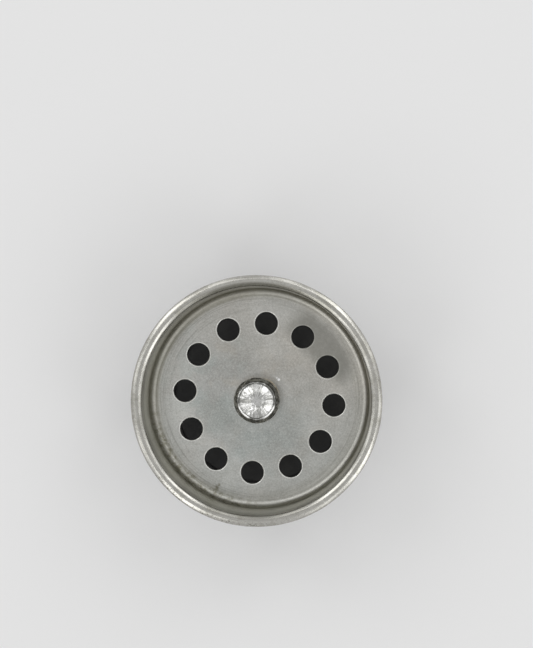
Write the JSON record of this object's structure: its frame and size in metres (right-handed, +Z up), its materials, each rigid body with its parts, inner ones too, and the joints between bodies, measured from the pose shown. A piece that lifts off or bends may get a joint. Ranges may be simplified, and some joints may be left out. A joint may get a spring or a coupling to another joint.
{
  "type": "sink strainer",
  "caption": "Steel sink strainer basket with a rolled rim, drain holes, and a knob that lifts and lowers a rubber stopper.",
  "frame": {"origin": "on the post's axis, in the plane of the rolled rim's underside, which rests on the drain", "axes": "+Z up along the post, towards the knob; +X and +Y lie in the rim's plane, with the picture's right along +X"},
  "size_m": [0.054, 0.054, 0.0334],
  "materials": {
    "basket_steel": "drawn stainless sheet, satin, faint spun lines, light wear",
    "knob_chrome": "polished chrome plate",
    "post_steel": "turned stainless, fine turning lines",
    "bush_brass": "machined brass, dulled",
    "spring_steel": "dark spring wire",
    "washer_steel": "punched stainless, satin",
    "stopper_rubber": "black moulded rubber, matt",
    "peg_nylon": "natural nylon, off-white"
  },
  "bodies": {
    "basket": {"basket": "basket_steel", "floor_bush": "bush_brass", "bush_washer": "washer_steel", "bush_nut": "bush_brass"},
    "detent": {"detent_ring": "spring_steel"},
    "stopper": {"knob": "knob_chrome", "post": "post_steel", "upper_washer": "washer_steel", "stopper_seal": "stopper_rubber", "cup_washer": "washer_steel", "lock_washer": "spring_steel", "guide_peg": "peg_nylon"}
  },
  "joints": [
    {"name": "knob_spin", "type": "hinge", "parent": "basket", "child": "detent", "pos_m": [0, 0, -0.0132], "axis": [0, 0, 1], "continuous": true},
    {"name": "stopper_lift", "type": "slide", "parent": "detent", "child": "stopper", "axis": [0, 0, 1], "range_m": [-0.006, 0], "deforming": ["detent_ring"]}
  ]
}
